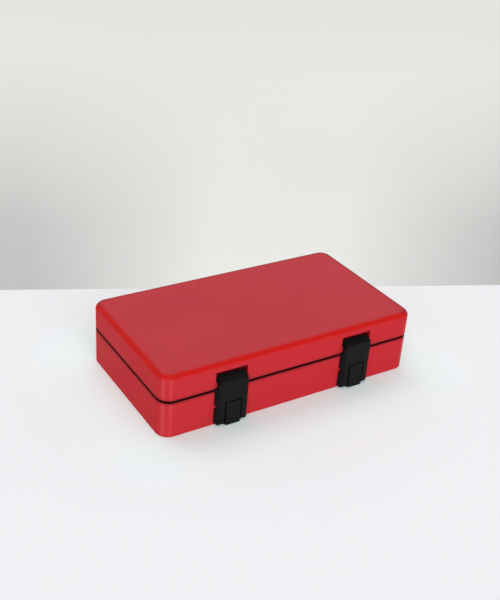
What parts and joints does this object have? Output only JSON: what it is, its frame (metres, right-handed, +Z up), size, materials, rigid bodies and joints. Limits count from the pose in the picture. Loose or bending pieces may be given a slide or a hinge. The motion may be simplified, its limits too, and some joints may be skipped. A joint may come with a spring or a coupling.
{
  "type": "art supply box",
  "caption": "Small rectangular hard case with a back-hinged lid, a rubber seal between the halves and black flip-up latches with pull-to-release triggers.",
  "frame": {"origin": "centre of the flat underside of the base", "axes": "+X along the case, -Y towards the latches, +Z up"},
  "size_m": [0.2, 0.1217, 0.0464],
  "materials": {
    "red_plastic": "satin moulded red plastic with a fine texture",
    "black_plastic": "finely textured black plastic",
    "seal_rubber": "smooth black rubber",
    "black_steel": "black coated sheet steel",
    "pin_steel": "plain drawn steel"
  },
  "bodies": {
    "base": {"base_shell": "red_plastic", "strike_left": "black_steel", "strike_right": "black_steel", "strike_screws": "pin_steel", "hinge_base_leaf_left": "black_steel", "hinge_base_leaf_right": "black_steel", "hinge_base_screws": "pin_steel", "hinge_pin_left": "pin_steel", "hinge_pin_right": "pin_steel"},
    "lid": {"lid_shell": "red_plastic", "lid_seal": "seal_rubber", "hinge_lid_leaf_left": "black_steel", "hinge_lid_leaf_right": "black_steel", "hinge_lid_screws": "pin_steel", "latch_pin_left": "pin_steel", "latch_pin_right": "pin_steel"},
    "left_latch": {"latch_left": "black_plastic", "trigger_pin_left": "pin_steel"},
    "right_latch": {"latch_right": "black_plastic", "trigger_pin_right": "pin_steel"},
    "left_trigger": {"trigger_left": "black_plastic"},
    "right_trigger": {"trigger_right": "black_plastic"}
  },
  "joints": [
    {"name": "lid_hinge", "type": "hinge", "parent": "base", "child": "lid", "pos_m": [0, 0.058, 0.027], "axis": [-1, 0, 0], "range_deg": [0, 110]},
    {"name": "left_latch_pivot", "type": "hinge", "parent": "lid", "child": "left_latch", "pos_m": [-0.05, -0.0543, 0.032], "axis": [-1, 0, 0], "range_deg": [0, 100]},
    {"name": "right_latch_pivot", "type": "hinge", "parent": "lid", "child": "right_latch", "pos_m": [0.05, -0.0543, 0.032], "axis": [-1, 0, 0], "range_deg": [0, 100]},
    {"name": "left_trigger_pivot", "type": "hinge", "parent": "left_latch", "child": "left_trigger", "pos_m": [-0.05, -0.0569, 0.0156], "axis": [-1, 0, 0], "range_deg": [0, 8], "stiffness_Nm_per_rad": 0.1, "springref_deg": -11.46},
    {"name": "right_trigger_pivot", "type": "hinge", "parent": "right_latch", "child": "right_trigger", "pos_m": [0.05, -0.0569, 0.0156], "axis": [-1, 0, 0], "range_deg": [0, 8], "stiffness_Nm_per_rad": 0.1, "springref_deg": -11.46}
  ]
}
